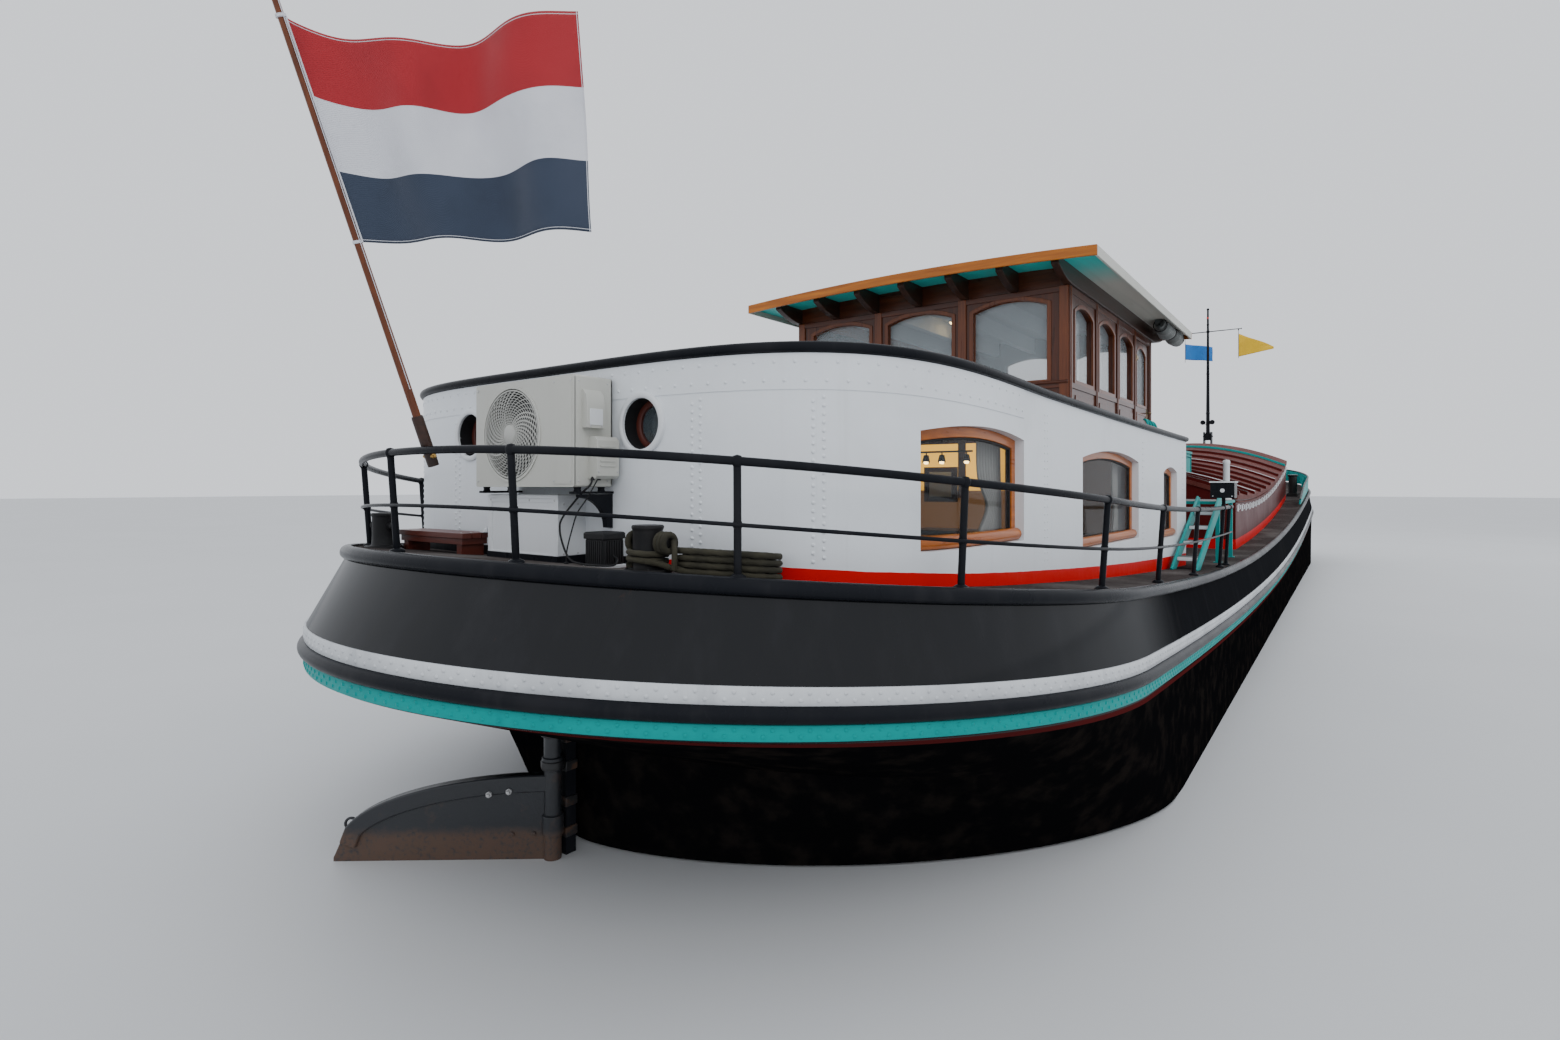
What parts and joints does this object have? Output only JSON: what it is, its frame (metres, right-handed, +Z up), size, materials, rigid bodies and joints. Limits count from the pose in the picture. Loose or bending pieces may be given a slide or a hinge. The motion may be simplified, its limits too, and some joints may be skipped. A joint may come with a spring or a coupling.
{
  "type": "river barge",
  "caption": "Flat-bottomed steel river barge with counter stern, white stern cabin, wooden wheelhouse, cambered hatches, railing and folding mast.",
  "frame": {"origin": "on the flat bottom of the hull, on the centreline, 12.9 m forward of the stern", "axes": "+X to the bow, +Y to port, +Z up"},
  "size_m": [27.6651, 5.4046, 8.4061],
  "materials": {
    "black_paint": "glossy black paint over steel",
    "white_paint": "semi-gloss white paint",
    "teal_paint": "semi-gloss teal paint",
    "cream_paint": "semi-gloss off-white paint",
    "hatch_red": "dark red paint",
    "hatch_top": "faded dull red paint",
    "varnish": "varnished red-brown hardwood",
    "dark_wood": "dark stained wood",
    "window": "varnished frame with a glass pane",
    "glass": "clear window glass",
    "bronze": "bronze",
    "air_case": "powder-coated off-white sheet",
    "fan_plastic": "grey plastic",
    "engine_grey": "painted cast iron",
    "cloth": "woven flag cloth in three stripes",
    "blue_cloth": "plain blue flag cloth",
    "yellow_cloth": "plain yellow flag cloth",
    "canvas": "grey awning canvas",
    "rope": "dark olive mooring rope"
  },
  "bodies": {
    "barge": {"hull": "black_paint", "white_band": "white_paint", "rubbing_strake": "black_paint", "teal_band": "teal_paint", "deck_edge": "black_paint", "cabin_wall_stern": "white_paint", "cabin_wall_starboard": "white_paint", "cabin_wall_port": "white_paint", "cabin_window_starboard_aft": "window", "cabin_window_port_aft": "window", "cabin_window_starboard_middle": "window", "cabin_window_port_middle": "window", "cabin_window_starboard_fore": "window", "cabin_window_port_fore": "window", "cabin_rim": "black_paint", "cabin_roof": "cream_paint", "engine_casing": "white_paint", "wheelhouse_floor": "dark_wood", "engine": "engine_grey", "wheelhouse_wall_aft": "varnish", "wheelhouse_wall_front": "varnish", "wheelhouse_wall_starboard": "varnish", "wheelhouse_wall_port": "varnish", "wheelhouse_glass": "glass", "wheelhouse_roof": "cream_paint", "wheelhouse_rafters": "dark_wood", "wheelhouse_fascia": "varnish", "helm_console": "dark_wood", "hold_coaming": "hatch_red", "hatch_roof": "hatch_top", "skylight_frame": "teal_paint", "mast_tabernacle": "black_paint", "bollard_stern_starboard": "black_paint", "bollard_stern_port": "black_paint", "bollard_bow_starboard": "black_paint", "bollard_bow_port": "black_paint", "stern_railing": "black_paint", "flagstaff": "varnish", "flag": "cloth", "stern_frame": "black_paint", "air_unit": "air_case", "air_grille": "air_case", "air_duct": "white_paint", "vent_box": "black_paint", "stern_bench": "dark_wood", "side_steps": "teal_paint", "bow_bulwark": "teal_paint", "windlass": "black_paint", "rope_coil": "rope", "canvas_roll": "canvas"},
    "rudder": {"rudder": "black_paint"},
    "propeller": {"propeller": "bronze"},
    "helm": {"steering_wheel": "varnish"},
    "door_starboard": {"wheelhouse_door_starboard": "varnish"},
    "door_port": {"wheelhouse_door_port": "varnish"},
    "mast": {"mast": "black_paint", "pennant_blue": "blue_cloth", "pennant_yellow": "yellow_cloth"},
    "skylight_lid": {"skylight_lid": "teal_paint"},
    "air_fan": {"air_fan": "fan_plastic"}
  },
  "joints": [
    {"name": "rudder_turn", "type": "hinge", "parent": "barge", "child": "rudder", "pos_m": [-11.78, 0, 1], "axis": [0, 0, 1], "range_deg": [-8, 112]},
    {"name": "propeller_spin", "type": "hinge", "parent": "barge", "child": "propeller", "pos_m": [-11.02, 0, 0.48], "axis": [1, 0, 0], "continuous": true},
    {"name": "helm_turn", "type": "hinge", "parent": "barge", "child": "helm", "pos_m": [-4.33, 0, 3.52], "axis": [1, 0, 0], "range_deg": [-96, 1344]},
    {"name": "door_starboard_swing", "type": "hinge", "parent": "barge", "child": "door_starboard", "pos_m": [-4.5975, -1.511, 3.8], "axis": [0, 0, -1], "range_deg": [0, 90]},
    {"name": "door_port_swing", "type": "hinge", "parent": "barge", "child": "door_port", "pos_m": [-4.5975, 1.511, 3.8], "axis": [0, 0, 1], "range_deg": [0, 90]},
    {"name": "mast_fold", "type": "hinge", "parent": "barge", "child": "mast", "pos_m": [12.2, 0, 4.51], "axis": [0, 1, 0], "range_deg": [-85, 0]},
    {"name": "skylight_hinge", "type": "hinge", "parent": "barge", "child": "skylight_lid", "pos_m": [-0.2, -0.345, 3.577], "axis": [-1, 0, 0], "range_deg": [0, 60]},
    {"name": "air_fan_spin", "type": "hinge", "parent": "barge", "child": "air_fan", "pos_m": [-11.99, -0.05, 3.295], "axis": [1, 0, 0], "continuous": true}
  ],
  "couplings": [
    {"joint": "helm_turn", "follows": "rudder_turn", "ratio": 12}
  ]
}
